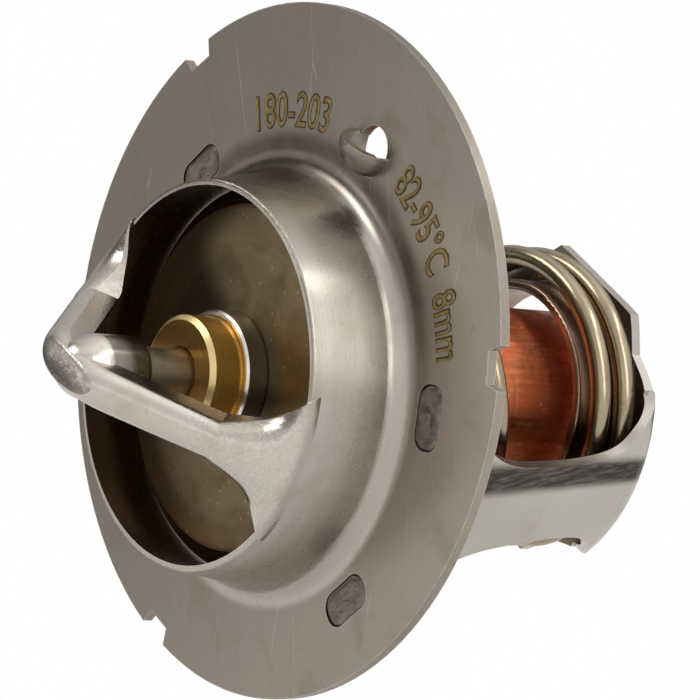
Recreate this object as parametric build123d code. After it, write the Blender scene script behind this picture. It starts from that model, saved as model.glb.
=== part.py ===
from build123d import *
from build123d.topology import SkipClean
from math import cos, radians, sin, sqrt, tan
import os

os.makedirs("parts", exist_ok=True)

# Local frame of every function below: +Z is the axis towards the bridge, +X runs along the bridge
# and the legs, and the front face of the flange is Z = 0. place() turns it into the stored frame:
# +Z up, axis along Y with the bridge towards -Y, origin at the middle of the flange's outline.
bridge_turn = 37.0              # the bridge's line leans this far below +X, seen from the front

# Flange
flange_radius = 32.0
flange_thick = 1.0
flange_centre = (-1.1, 2.6)     # the outline is not concentric with the hat
notch_angles = (30.0, 150.0, 270.0)
notch_mouth = 4.0
notch_floor = 2.9
notch_depth = 1.6
land_radius = 28.0              # the housing clamps the flange outside this radius

# Hat and its opening: a drawn wall that thins towards the rim
hat_rim_radius = 17.8
hat_rim_wall = 0.5
hat_rim_height = 8.9
hat_foot_radius = 18.95
hat_foot_wall = 0.88
hat_foot_height = 2.2
hat_fillet = 1.9
hat_bore_round = 0.85
hat_rim_round = 0.25
hat_skirt = 4.0                 # flat stretch of the drawing that joins the flange

# V bridge: an arched channel over the opening
bridge_skew = 2.5               # turn of the bridge against the legs below
channel_radius = 1.85
channel_skirt = 2.0             # straight sides below the arch
channel_wall = 0.85
crown_slope = 43.65             # degrees from the flange plane
crown_reach = 14.3              # a point on the crown line: this far out ...
crown_reach_height = 13.54      # ... and this high
apex_crown_radius = 8.0
root_start_reach = 12.9

# Roots of the bridge: stations from the channel to the rim. Each is an arch across the arm. Its
# crown is set in from the hat's rim and rises above it, its plane leans, and straight sides run
# down below the arch.
root_first = dict(set_in=3.9, rise=5.02, lean=crown_slope,
                  half_width=2.4, arch_depth=1.95, sides=1.8, wall=0.8)
root_upper = dict(set_in=2.5, rise=3.6, lean=crown_slope,
                  half_width=3.35, arch_depth=2.4, sides=0.75, wall=0.73)
root_lower = dict(set_in=0.8, rise=1.85, lean=57.0,
                  half_width=5.1, arch_depth=2.0, sides=0.35, wall=0.6)
root_rim_rise = 0.15
root_rim_sides = 0.1
root_rim_half_width = 6.8
root_foot_depth = 1.0           # how far the roots run down inside the hat's wall
root_foot_half_width = 7.5
root_inset = 0.02               # the roots' wall is this much inside the hat's, on both faces

# Boss that grips the pin, and the dimple pressed into the apex above it
boss_radius = 3.15
boss_end_height = 15.4
boss_end_round = 0.7
boss_straight_height = 19.8
boss_dome = ((2.85, 21.2), (2.1, 22.7), (1.1, 23.5))
boss_dome_height = 23.7
dimple_half_width = 1.5
dimple_depth = 2.1
dimple_half_length = 4.9
dimple_axis_height = 23.75
dimple_shift = 0.2

# Bleed hole with its hood
bleed_reach = 24.7
bleed_radius = 2.2
hood_radius = 2.95
hood_wall = 0.75
hood_shift = -0.35
hood_offset = 0.35              # the hood's centre stands this far outside the hole's

# Tab slots
tab_half_angle = 24.9
tab_length = 5.0
tab_spread = 2.2                # staked ends swell to this width
slot_length = 6.0
slot_width = 3.3
slot_shift = 0.45               # the slot's middle lies outside the tab's
slot_corner = 1.45
tab_spread_depth = 0.72         # how deep the staked end fills its slot
tab_spread_shift = 0.05
tab_spread_corner = 0.9

# Pin
pin_radius = 2.27
pin_top_height = 20.8
pin_end_height = -12.5
pin_slide_clearance = 0.05
pin_chamfer = 0.25
pin_end_round = 0.9

# Guide body
guide_radius = 5.4
guide_nose_height = 10.7
guide_nose_radius = 4.95
guide_flange_radius = 7.45
guide_flange_height = 3.17
guide_flange_thick = 1.75
guide_mouth = 0.25              # the bore opens this much at the nose
guide_mouth_depth = 0.4
guide_nose_drop = 0.12
guide_nose_bevel = 0.42
washer_radius = 4.0
washer_thick = 0.8
washer_side_clearance = 0.03
washer_back_clearance = 0.02
washer_front_clearance = 0.01

# Valve disc
disc_neck_radius = 6.05
disc_neck_height = 7.25
disc_neck_clearance = 0.02
disc_step_height = 4.87
disc_face_radius = 15.9
disc_face_height = 4.1
disc_edge_radius = 17.85
disc_edge_height = 2.5
disc_sheet = 1.0
disc_neck_mouth = 0.15
disc_neck_corner = 0.2
disc_step_inner = (0.05, 0.06)
disc_step_outer = 0.35
disc_face_corner = (0.3, 0.04)
disc_edge_bevel = (0.5, 0.45, 0.8)          # in from the edge, then down to its start and end
disc_rear_inset = 0.45
disc_seat_gap = 0.02
disc_cup_gap = 0.2

# Element cup
cup_radius = 8.35
cup_wall = 0.8
cup_end_height = -34.8
cup_end_wall = 1.0
cup_lip_radius = 6.35
cup_lip_thick = 0.68
cup_shoulder_radius = 7.05
cup_shoulder_gap = 0.01
cup_end_corner = ((1.1, 0), (0.32, 0.32), (0, 1.1))     # in from the side, up from the end
cup_lip_corner = 0.5
cup_inner_corner = 1.0
element_clearance = 0.02

# Rubber boot and wax
boot_radius = 4.2
boot_flange_thick = 0.9
boot_flange_gap = 0.05
boot_seat_gap = 0.01
boot_pin_gap = 0.04
boot_end_height = -16.0
boot_end_bevel = (0.5, 0.8)
boot_end_inset = 1.4
boot_pocket_height = -13.2
boot_pocket_bevel = (0.6, 0.8)
wax_gap = 0.03
wax_top_gap = 0.02
wax_corner = 1.0

# Lower frame
frame_sheet = 1.0
base_front_height = -32.6
collar_radius = 11.16
collar_free_height = -27.6
leg_base_radius = 17.3
leg_top_radius = 23.35
bend_radius = 3.2
collar_outer_round = 0.9
collar_inner_round = 0.35
collar_lip_round = 0.3
leg_half_width = 4.35
foot_half_width = 12.7
foot_start_height = -11.5
foot_flare = ((0, 1.2), (2.0, 4.4))         # in from the foot's end, down from the flange
leg_shoulder = ((2.2, 2.4), (0.45, -1.6), (0, -5.5))    # out from the leg, above the foot's start
leg_heel = ((0, 7.0), (0.7, 4.0), (2.4, 1.8))           # out from the leg, above the base's front
leg_heel_end = 0.4
base_half_width = 13.45
base_long_side = 6.2
base_waist = (8.55, 10.45)
base_corner = (12.3, 8.9)

# Spring
wire_radius = 0.98
spring_radius = 13.4            # to the middle of the wire
spring_seat_gap = 0.03
spring_first_angle = -164.0
spring_seat_turns = 0.45        # flat on the base
spring_close_turns = 1.35       # rises at the close pitch
spring_close_pitch = 2.9
spring_open_turns = 1.75        # the open coils
spring_top_turns = 0.95         # closes in under the disc
spring_top_rise = 1.33
spring_top_rise_turns = 0.45

eps = 0.01


def place(solid):
    turn = radians(bridge_turn)
    frame = Plane(origin=(0, 0, 0), x_dir=(cos(turn), 0, -sin(turn)), z_dir=(0, -1, 0))
    return frame.location * (Pos(-flange_centre[0], -flange_centre[1], 0) * solid)


def turned(points, close=True):
    """Solid of revolution about the axis from (radius, height) points."""
    with BuildPart() as body:
        with BuildSketch(Plane.XZ):
            with BuildLine():
                Polyline(*points, close=close)
            make_face()
        revolve(axis=Axis.Z)
    return body.part


def prism(points, low, high):
    """Straight prism of an XY outline between two heights."""
    with BuildPart() as body:
        with BuildSketch(Plane.XY.offset(low)):
            with BuildLine():
                Polyline(*points, close=True)
            make_face()
        extrude(amount=high - low)
    return body.part


def drum(radius, low, high, centre=(0, 0)):
    return Pos(centre[0], centre[1], low) * Cylinder(
        radius, high - low, align=(Align.CENTER, Align.CENTER, Align.MIN))


# ---------------------------------------------------------------- flange, hat and bridge

def hat_radius_at(height):
    """Outer radius of the tapered wall at a height."""
    share = (height - hat_foot_height) / (hat_rim_height - hat_foot_height)
    return hat_foot_radius + share * (hat_rim_radius - hat_foot_radius)


def hat_inside_at(height):
    """Inner radius of the tapered wall at a height."""
    share = (height - hat_foot_height) / (hat_rim_height - hat_foot_height)
    wall = hat_foot_wall + share * (hat_rim_wall - hat_foot_wall)
    return hat_radius_at(height) - wall


def hat_wall_solid():
    with BuildPart() as body:
        with BuildSketch(Plane.XZ):
            with BuildLine():
                foot_out = hat_radius_at(0)
                foot_in = hat_inside_at(0)
                Polyline(
                    (foot_in, -flange_thick),
                    (foot_out + hat_skirt, -flange_thick),
                    (foot_out + hat_skirt, 0),
                    (foot_out, 0),
                    (hat_rim_radius, hat_rim_height),
                    (hat_inside_at(hat_rim_height), hat_rim_height),
                    (foot_in, 0),
                    close=True)
            make_face()
        revolve(axis=Axis.Z)
        root = body.edges().filter_by(GeomType.CIRCLE)
        inner_corner = [
            e for e in root
            if abs(e.radius - foot_out) < eps and abs(e.arc_center.Z) < eps]
        fillet(inner_corner, hat_fillet)
        bore_corner = [
            e for e in body.edges().filter_by(GeomType.CIRCLE)
            if abs(e.radius - foot_in) < eps and e.arc_center.Z < -eps]
        fillet(bore_corner, hat_bore_round)
        rim = [
            e for e in body.edges().filter_by(GeomType.CIRCLE)
            if abs(e.arc_center.Z - hat_rim_height) < eps and e.radius > hat_rim_radius - eps]
        fillet(rim, hat_rim_round)
    return body.part


def crown_point(reach):
    return crown_reach_height + (crown_reach - reach) * tan(radians(crown_slope))


def channel_path():
    """Line of the channel's centre: up one arm, round the apex, down the other."""
    lean = radians(crown_slope)
    vertex = crown_point(0)
    centre_drop = apex_crown_radius / cos(lean)
    arc_centre = vertex - centre_drop
    bend = apex_crown_radius - channel_radius
    touch = (bend * sin(lean), arc_centre + bend * cos(lean))
    foot_reach = root_start_reach - channel_radius * sin(lean)
    foot = (foot_reach, crown_point(root_start_reach) - channel_radius * cos(lean))
    with BuildLine(Plane.XZ) as path:
        Line((-foot[0], foot[1]), (-touch[0], touch[1]))
        ThreePointArc((-touch[0], touch[1]), (0, arc_centre + bend), touch)
        Line(touch, foot)
    return path.wires()[0], foot


def channel_section(plane):
    """Arched section with straight sides, open towards the axis."""
    inner = channel_radius - channel_wall
    with BuildSketch(plane) as section:
        Circle(channel_radius)
        with Locations((-channel_skirt / 2, 0)):
            Rectangle(channel_skirt, 2 * channel_radius)
        Circle(inner, mode=Mode.SUBTRACT)
        with Locations((-channel_radius - 1, 0)):
            Rectangle(2 * channel_radius + 2, 2 * inner, mode=Mode.SUBTRACT)
        with Locations((-channel_skirt - channel_radius, 0)):
            Rectangle(2 * channel_radius, 3 * channel_radius, mode=Mode.SUBTRACT)
    return section.sketch


def arm_plane(foot, side):
    """Plane across one arm's foot; its X looks outwards, its Y runs along the width."""
    lean = radians(crown_slope)
    out = (side * sin(lean), 0, cos(lean))
    down = (side * cos(lean), 0, -sin(lean))
    return Plane(origin=(side * foot[0], 0, foot[1]), x_dir=out, z_dir=down)


def root_section(side, reach, height, lean, half_width, arch_depth, sides):
    """Arch with straight sides, closed off across its open end."""
    slope = radians(lean)
    out = (side * sin(slope), 0, cos(slope))
    down = (side * cos(slope), 0, -sin(slope))
    plane = Plane(origin=(side * reach, 0, height), x_dir=out, z_dir=down)
    foot = -arch_depth
    with BuildSketch(plane) as section:
        with BuildLine():
            Line((foot - sides, half_width), (foot, half_width))
            ThreePointArc((foot, half_width), (0, 0), (foot, -half_width))
            Line((foot, -half_width), (foot - sides, -half_width))
            Line((foot - sides, -half_width), (foot - sides, half_width))
        make_face()
    return section.sketch.faces()[0]


def root_outside(side, station):
    shape = {name: size for name, size in station.items() if name != "wall"}
    return root_section(side, **shape)


def rim_station(set_in, rise, **shape):
    """Station placed from the hat's rim."""
    return dict(reach=hat_rim_radius - set_in, height=hat_rim_height + rise, **shape)


def root_inside(side, station):
    """The same arch one wall further in, run out past the station's open end."""
    slope = radians(station["lean"])
    wall = station["wall"]
    half_width = station["half_width"] - wall
    arch_depth = station["arch_depth"] * half_width / station["half_width"]
    full_depth = station["arch_depth"] + station["sides"] + wall
    return root_section(
        side,
        station["reach"] - wall * sin(slope),
        station["height"] - wall * cos(slope),
        station["lean"],
        half_width,
        arch_depth,
        full_depth - arch_depth)


def rim_section(side, radius, height, half_width, sides):
    """Section opened out to the curve of the hat's wall."""
    arch_depth = radius - sqrt(radius ** 2 - half_width ** 2)
    return root_section(side, radius, height, 90, half_width, arch_depth, sides)


def channel_station():
    return dict(
        reach=root_start_reach, height=crown_point(root_start_reach), lean=crown_slope,
        half_width=channel_radius, arch_depth=channel_radius, sides=channel_skirt,
        wall=channel_wall)


def root_loft(side):
    """Opens one arm from the channel into the curve of the hat's wall, and ends inside it."""
    stations = [channel_station()]
    for station in (root_first, root_upper, root_lower):
        stations.append(rim_station(**station))
    rim = (hat_rim_height + root_rim_rise, root_rim_half_width)
    foot = (hat_rim_height - root_foot_depth, root_foot_half_width)
    outside = [root_outside(side, station) for station in stations]
    inside = [root_inside(side, station) for station in stations]
    for height, half_width in (rim, foot):
        outer = hat_radius_at(height) - root_inset
        inner = hat_inside_at(height) + root_inset
        outside.append(rim_section(side, outer, height, half_width, root_rim_sides))
        inside.append(rim_section(
            side, inner, height - 0.1 * root_foot_depth, half_width + hat_rim_wall,
            3 * hat_rim_wall))
    return loft(outside) - loft(inside)


def bridge_solid():
    path, foot = channel_path()
    section = channel_section(arm_plane(foot, -1))
    arms = sweep(section.faces()[0], path=path)
    body = arms + root_loft(1) + root_loft(-1)
    return Rot(0, 0, bridge_skew) * body


def boss_solid():
    with BuildPart() as body:
        with BuildSketch(Plane.XZ):
            with BuildLine():
                side = Line((boss_radius, boss_end_height + boss_end_round),
                            (boss_radius, boss_straight_height))
                Spline(side @ 1, *boss_dome, (0, boss_dome_height),
                       tangents=((0, 1), (-1, 0)))
                Polyline((0, boss_dome_height), (0, boss_end_height),
                         (boss_radius - boss_end_round, boss_end_height))
                RadiusArc((boss_radius - boss_end_round, boss_end_height), side @ 0, -boss_end_round)
            make_face()
        revolve(axis=Axis.Z)
    return body.part


def dimple_cut():
    """Boat-shaped dimple along the crown: a spindle turned about its own length."""
    with BuildPart() as body:
        with BuildSketch(Plane.XY):
            with BuildLine():
                CenterArc((0, 0), 1, 0, 180)
                Line((-1, 0), (1, 0))
            make_face()
        revolve(axis=Axis.X)
    ball = scale(body.part, by=(dimple_half_length, dimple_half_width, dimple_depth))
    return Rot(0, 0, bridge_skew) * (Pos(0, dimple_shift, dimple_axis_height) * ball)


def notch_cut(angle):
    inner = flange_radius - notch_depth
    wide = notch_mouth - notch_floor / 2        # half width one depth outside the rim
    outline = prism([
        (inner, -notch_floor / 2),
        (flange_radius + notch_depth, -wide),
        (flange_radius + notch_depth, wide),
        (inner, notch_floor / 2)], -flange_thick - 1, 1)
    return Pos(flange_centre[0], flange_centre[1], 0) * (Rot(0, 0, angle) * outline)


def tab_angles():
    return (tab_half_angle, -tab_half_angle, 180 + tab_half_angle, 180 - tab_half_angle)


def tab_pitch_radius():
    """Middle of the legs' sheet where it meets the flange."""
    return leg_top_radius - frame_sheet / 2


def slot_cut(angle):
    slot = extrude(
        Plane.XY.offset(-flange_thick - 1) * RectangleRounded(slot_width, slot_length, slot_corner),
        amount=flange_thick + 2)
    return Rot(0, 0, angle) * (Pos(tab_pitch_radius() + slot_shift, 0, 0) * slot)


def hood_solid():
    """Quarter-round hood over the bleed hole, open away from the hat."""
    ball = Sphere(hood_radius) - Sphere(hood_radius - hood_wall)
    keep = Pos(0, -hood_radius, hood_radius / 2 - flange_thick / 4) * Box(
        3 * hood_radius, 2 * hood_radius, hood_radius + flange_thick / 2)
    return Pos(hood_shift, bleed_reach + hood_offset, 0) * (ball & keep)


def bleed_cut():
    hole = drum(bleed_radius, -flange_thick - 1, 1, (0, bleed_reach))
    under = Pos(hood_shift, bleed_reach + hood_offset, 0) * Sphere(hood_radius - hood_wall)
    keep = Pos(hood_shift, bleed_reach + hood_offset - hood_radius, 0) * Box(
        3 * hood_radius, 2 * hood_radius, 3 * hood_radius)
    return hole + (under & keep)


def with_clamped_land(body):
    """Keeps the land that the housing clamps as faces of its own on both sides of the flange."""
    middle = drum(land_radius, -flange_thick - 1, 2 * boss_dome_height, flange_centre)
    with SkipClean():
        return (body & middle) + (body - middle)


def flange_bridge():
    disc = drum(flange_radius, -flange_thick, 0, flange_centre)
    bore = drum(hat_radius_at(0) + hat_skirt / 2, -flange_thick - 1, 1)
    body = (disc - bore) + hat_wall_solid()
    body = body + bridge_solid()
    inside = turned([
        (0, -flange_thick - 1),
        (hat_inside_at(-flange_thick - 1), -flange_thick - 1),
        (hat_inside_at(hat_rim_height), hat_rim_height),
        (0, hat_rim_height)])
    body = body - inside
    body = body + boss_solid()
    body = body - dimple_cut()
    body = body - drum(pin_radius, boss_end_height - 1, pin_top_height)
    body = body + hood_solid() - bleed_cut()
    for angle in notch_angles:
        body = body - notch_cut(angle)
    for angle in tab_angles():
        body = body - slot_cut(angle)
    return with_clamped_land(body)


# ---------------------------------------------------------------- lower frame

def frame_shell():
    """Collar, base, bend and leg wall as one sheet turned about the axis."""
    base_back = base_front_height - frame_sheet
    inner = collar_radius - frame_sheet
    lean = (leg_top_radius - leg_base_radius) / (-flange_thick - (base_back + bend_radius))
    with BuildPart() as body:
        with BuildSketch(Plane.XZ):
            with BuildLine():
                Polyline(
                    (inner, collar_free_height),
                    (inner, base_back),
                    (leg_base_radius - lean * bend_radius, base_back),
                    (leg_top_radius, -flange_thick),
                    (leg_top_radius - frame_sheet, -flange_thick),
                    (leg_base_radius - frame_sheet - lean * (bend_radius - frame_sheet),
                     base_front_height),
                    (collar_radius, base_front_height),
                    (collar_radius, collar_free_height),
                    close=True)
            make_face()
        revolve(axis=Axis.Z)
        rings = body.edges().filter_by(GeomType.CIRCLE)
        outer_bend = [e for e in rings
                      if abs(e.arc_center.Z - base_back) < eps and e.radius > collar_radius + 1]
        inner_bend = [e for e in rings
                      if abs(e.arc_center.Z - base_front_height) < eps
                      and e.radius > collar_radius + 1]
        neck_out = [e for e in rings
                    if abs(e.arc_center.Z - base_back) < eps and e.radius < collar_radius]
        neck_in = [e for e in rings
                   if abs(e.arc_center.Z - base_front_height) < eps
                   and abs(e.radius - collar_radius) < eps]
        fillet(outer_bend, bend_radius)
        fillet(inner_bend, bend_radius - frame_sheet)
        fillet(neck_out, collar_outer_round)
        fillet(neck_in, collar_inner_round)
        lip = [e for e in body.edges().filter_by(GeomType.CIRCLE)
               if abs(e.arc_center.Z - collar_free_height) < eps]
        fillet(lip, collar_lip_round)
    return body.part


def leg_edge(side):
    """One edge of a leg seen along the bridge's line, from its foot to the base."""
    points = [(foot_half_width - inwards, -flange_thick - down) for inwards, down in foot_flare]
    for outwards, above in leg_shoulder:
        points.append((leg_half_width + outwards, foot_start_height + above))
    for outwards, above in leg_heel:
        points.append((leg_half_width + outwards, base_front_height + above))
    points.append((base_corner[1], base_front_height - leg_heel_end))
    return [(side * across, height) for across, height in points]


def leg_mask():
    top = -flange_thick
    base = base_front_height - frame_sheet - 1
    with BuildPart() as body:
        with BuildSketch(Plane.YZ.offset(-leg_top_radius - 2)):
            with BuildLine():
                right = Spline(*leg_edge(1))
                left = Spline(*leg_edge(-1))
                Polyline(left @ 0, (-foot_half_width, top), (foot_half_width, top), right @ 0)
                Polyline(left @ 1, (-base_corner[1], base), (base_corner[1], base), right @ 1)
            make_face()
        extrude(amount=2 * leg_top_radius + 4)
    core = drum(base_corner[0] - 0.3, base_front_height + bend_radius, 0)
    return body.part - core


def base_mask():
    quarter = [
        (base_long_side, base_half_width),
        base_waist,
        base_corner]
    right = quarter + [(x, -y) for x, y in reversed(quarter)]
    left = [(-x, -y) for x, y in right]
    return prism(right + left, base_front_height - frame_sheet - 1, collar_free_height + 1)


def tab_solid(angle):
    """Tab through the flange with its end spread flush over the slot."""
    stem = Pos(tab_pitch_radius(), 0, -flange_thick / 2) * Box(
        frame_sheet, tab_length, flange_thick + 2 * eps)
    spread = Pos(tab_pitch_radius() + tab_spread_shift, 0, -tab_spread_depth / 2) * Box(
        tab_spread, tab_length, tab_spread_depth)
    spread = fillet(spread.edges().filter_by(Axis.Z), tab_spread_corner)
    return Rot(0, 0, angle) * (stem + spread)


def lower_frame():
    shell = frame_shell()
    base = shell & base_mask()
    legs = shell & leg_mask()
    body = base + legs
    for angle in tab_angles():
        body = body + tab_solid(angle)
    return body


# ---------------------------------------------------------------- element and valve

def piston_pin():
    pin = drum(pin_radius, pin_end_height, pin_top_height)
    top = [e for e in pin.edges().filter_by(GeomType.CIRCLE) if e.arc_center.Z > 0]
    pin = chamfer(top, pin_chamfer)
    end = [e for e in pin.edges().filter_by(GeomType.CIRCLE)
           if abs(e.arc_center.Z - pin_end_height) < eps]
    return fillet(end, pin_end_round)


def guide_body():
    bore = pin_radius + pin_slide_clearance
    flange_low = guide_flange_height - guide_flange_thick
    pocket_end = flange_low + washer_thick + washer_back_clearance
    return turned([
        (bore + guide_mouth, guide_nose_height - guide_nose_drop),
        (guide_nose_radius, guide_nose_height),
        (guide_radius, guide_nose_height - guide_nose_bevel),
        (guide_radius, guide_flange_height),
        (guide_flange_radius, guide_flange_height),
        (guide_flange_radius, flange_low),
        (washer_radius + washer_side_clearance, flange_low),
        (washer_radius + washer_side_clearance, pocket_end),
        (bore, pocket_end),
        (bore, guide_nose_height - guide_mouth_depth)])


def backup_washer():
    flange_low = guide_flange_height - guide_flange_thick
    ring = drum(washer_radius, flange_low + washer_front_clearance, flange_low + washer_thick)
    return ring - drum(pin_radius + washer_side_clearance, flange_low - 1, guide_flange_height)


def boot_top_height():
    return guide_flange_height - guide_flange_thick - boot_seat_gap


def rubber_boot():
    top = boot_top_height()
    bore = pin_radius + boot_pin_gap
    return turned([
        (bore, top),
        (guide_flange_radius - boot_flange_gap, top),
        (guide_flange_radius - boot_flange_gap, top - boot_flange_thick),
        (boot_radius, top - boot_flange_thick),
        (boot_radius - boot_end_bevel[0], boot_end_height + boot_end_bevel[1]),
        (boot_radius - boot_end_inset, boot_end_height),
        (0, boot_end_height),
        (0, boot_pocket_height),
        (bore - boot_pocket_bevel[0], boot_pocket_height),
        (bore, boot_pocket_height + boot_pocket_bevel[1])])


def wax_charge():
    top = boot_top_height() - boot_flange_thick - wax_top_gap
    outer = cup_shoulder_radius - element_clearance
    low = cup_end_height + cup_end_wall + element_clearance
    return turned([
        (boot_radius + wax_gap, top),
        (outer, top),
        (outer, low + wax_corner),
        (outer - wax_corner, low),
        (0, low),
        (0, boot_end_height - wax_gap),
        (boot_radius - boot_end_inset + wax_gap, boot_end_height - wax_gap),
        (boot_radius - boot_end_bevel[0] + wax_gap, boot_end_height + boot_end_bevel[1])])


def element_cup():
    shoulder = boot_top_height() - boot_flange_thick - cup_shoulder_gap
    lip_top = guide_flange_height + cup_lip_thick
    inner = cup_radius - cup_wall
    floor = cup_end_height + cup_end_wall
    corner = [(cup_radius - inwards, cup_end_height + up) for inwards, up in cup_end_corner]
    return turned([
        (0, cup_end_height),
        *corner,
        (cup_radius, lip_top - cup_lip_corner),
        (cup_radius - cup_lip_corner, lip_top),
        (cup_lip_radius, lip_top),
        (cup_lip_radius, guide_flange_height + element_clearance),
        (inner, guide_flange_height + element_clearance),
        (inner, shoulder),
        (cup_shoulder_radius, shoulder),
        (cup_shoulder_radius, floor + cup_inner_corner),
        (cup_shoulder_radius - cup_inner_corner, floor),
        (0, floor)])


def disc_seat_height():
    return guide_flange_height + cup_lip_thick + disc_seat_gap


def valve_disc():
    bore = guide_radius + disc_neck_clearance
    seat = disc_seat_height()
    return turned([
        (bore, disc_neck_height - disc_neck_mouth),
        (bore + disc_neck_mouth, disc_neck_height),
        (disc_neck_radius - disc_neck_corner, disc_neck_height),
        (disc_neck_radius, disc_neck_height - disc_neck_corner),
        (disc_neck_radius + disc_step_inner[0], disc_step_height + disc_step_inner[1]),
        (disc_neck_radius + disc_step_outer, disc_step_height),
        (disc_face_radius - disc_face_corner[0], disc_face_height + disc_face_corner[1]),
        (disc_face_radius, disc_face_height),
        (disc_edge_radius, disc_edge_height),
        (disc_edge_radius, disc_edge_height - disc_edge_bevel[1]),
        (disc_edge_radius - disc_edge_bevel[0], disc_edge_height - disc_edge_bevel[2]),
        (disc_face_radius - disc_rear_inset, disc_face_height - disc_sheet),
        (cup_radius + disc_cup_gap, seat),
        (bore, seat)])


# ---------------------------------------------------------------- spring

def disc_rear_at(radius):
    """Height of the disc's rear face where the spring bears."""
    seat = disc_seat_height()
    inner = cup_radius + disc_cup_gap
    outer = disc_face_radius - disc_rear_inset
    share = (radius - inner) / (outer - inner)
    return seat + share * (disc_face_height - disc_sheet - seat)


def spring_height(turns):
    """Height of the wire's middle after some turns from the base."""
    low = base_front_height + wire_radius + spring_seat_gap
    high = disc_rear_at(spring_radius + wire_radius) - wire_radius - spring_seat_gap
    open_low = low + spring_close_turns * spring_close_pitch
    open_high = high - spring_top_rise
    turns = turns - spring_seat_turns
    if turns <= 0:
        return low
    if turns <= spring_close_turns:
        return low + turns * spring_close_pitch
    turns = turns - spring_close_turns
    if turns <= spring_open_turns:
        share = turns / spring_open_turns
        ease = 0.75 * share + 0.25 * share * share * (3 - 2 * share)
        return open_low + ease * (open_high - open_low)
    share = min((turns - spring_open_turns) / spring_top_rise_turns, 1.0)
    return open_high + share * spring_top_rise


def main_spring():
    spring_turns = spring_seat_turns + spring_close_turns + spring_open_turns + spring_top_turns
    steps = int(spring_turns * 16)
    points = []
    for i in range(steps + 1):
        turns = spring_turns * i / steps
        angle = radians(spring_first_angle + 360 * turns)
        points.append((spring_radius * cos(angle), spring_radius * sin(angle),
                       spring_height(turns)))
    path = Spline(*points)
    section = Plane(origin=path @ 0, z_dir=path % 0) * Circle(wire_radius)
    return sweep(section, path=path)


parts = {
    "flange_bridge": flange_bridge,
    "lower_frame": lower_frame,
    "piston_pin": piston_pin,
    "guide_body": guide_body,
    "backup_washer": backup_washer,
    "rubber_boot": rubber_boot,
    "wax_charge": wax_charge,
    "element_cup": element_cup,
    "valve_disc": valve_disc,
    "main_spring": main_spring,
}

for name, make in parts.items():
    solid = place(make())
    export_step(solid, f"parts/{name}.step")
    print(name, round(solid.volume, 1), len(solid.solids()))
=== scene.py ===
from math import cos, pi, radians, sin

import bpy
import numpy as np
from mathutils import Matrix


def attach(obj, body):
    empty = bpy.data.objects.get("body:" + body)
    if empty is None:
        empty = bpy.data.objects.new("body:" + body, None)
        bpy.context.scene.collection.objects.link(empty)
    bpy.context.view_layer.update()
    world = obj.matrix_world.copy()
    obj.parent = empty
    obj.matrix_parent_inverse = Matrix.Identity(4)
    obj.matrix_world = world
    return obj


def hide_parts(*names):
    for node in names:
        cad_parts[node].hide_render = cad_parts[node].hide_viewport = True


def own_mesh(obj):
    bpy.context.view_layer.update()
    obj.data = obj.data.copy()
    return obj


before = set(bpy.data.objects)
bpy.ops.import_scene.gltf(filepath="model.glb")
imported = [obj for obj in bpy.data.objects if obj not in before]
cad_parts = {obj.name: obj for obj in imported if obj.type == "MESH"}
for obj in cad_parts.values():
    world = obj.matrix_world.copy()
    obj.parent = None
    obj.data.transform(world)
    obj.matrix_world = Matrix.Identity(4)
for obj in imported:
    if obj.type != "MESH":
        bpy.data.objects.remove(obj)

bl_info = {
    "name": "Coolant Thermostat Finish",
    "version": (1, 0, 0),
    "blender": (4, 5, 0),
    "location": "View3D > Sidebar > Thermostat",
    "description": "Finishes, etched marks, spring coil and studio stage for a coolant thermostat",
    "category": "Object",
}

MM = 0.001
VALVE_AXIS = (-0.686 * MM, 0.0, -2.738 * MM)     # where the valve's axis crosses the flange plane
BRIDGE_TURN = radians(37.0)                      # the bridge's line leans this far below +X
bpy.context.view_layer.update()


# ---------------- settings

def colour_setting(name, description, default):
    return bpy.props.FloatVectorProperty(name=name, description=description, subtype="COLOR",
                                         size=3, min=0, max=1, default=default)


class FinishSettings(bpy.types.PropertyGroup):
    """Colours of the metals and how strongly they are marked by use."""
    steel: colour_setting("Flange steel", "Colour of the rolled flange sheet",
                          (0.255, 0.222, 0.186))
    drawn_steel: colour_setting("Drawn steel", "Colour of the drawn hat and the bridge",
                                (0.50, 0.455, 0.395))
    frame_steel: colour_setting("Frame steel", "Colour of the lower frame", (0.58, 0.545, 0.495))
    spring_steel: colour_setting("Spring steel", "Colour of the spring wire", (0.42, 0.345, 0.24))
    # painted shade: the disc's colour is darkened for the dark it mirrors
    disc_steel: colour_setting("Disc steel", "Colour of the valve disc", (0.17, 0.122, 0.068))
    brass: colour_setting("Brass", "Colour of the turned guide", (0.72, 0.40, 0.075))
    copper: colour_setting("Copper", "Colour of the element's cup", (0.64, 0.20, 0.085))
    tarnish: bpy.props.FloatProperty(
        name="Tarnish", description="Strength of stains and heat tint", subtype="FACTOR",
        min=0, max=1, default=0.5)


class MarkSettings(bpy.types.PropertyGroup):
    """Plain temperature marks etched in the flange."""
    top_text: bpy.props.StringProperty(
        name="Top mark", description="Plain mark above the hat", default="180-203")
    side_text: bpy.props.StringProperty(
        name="Side mark", description="Plain mark beside the hat", default="82-95°C  8mm")
    letter_height: bpy.props.FloatProperty(
        name="Letter height", description="Height of the letters", unit="LENGTH",
        min=0.001, default=3.3 * MM)
    depth: bpy.props.FloatProperty(
        name="Film thickness", description="How far the marks stand off the sheet",
        unit="LENGTH", min=0, default=0.012 * MM)


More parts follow.
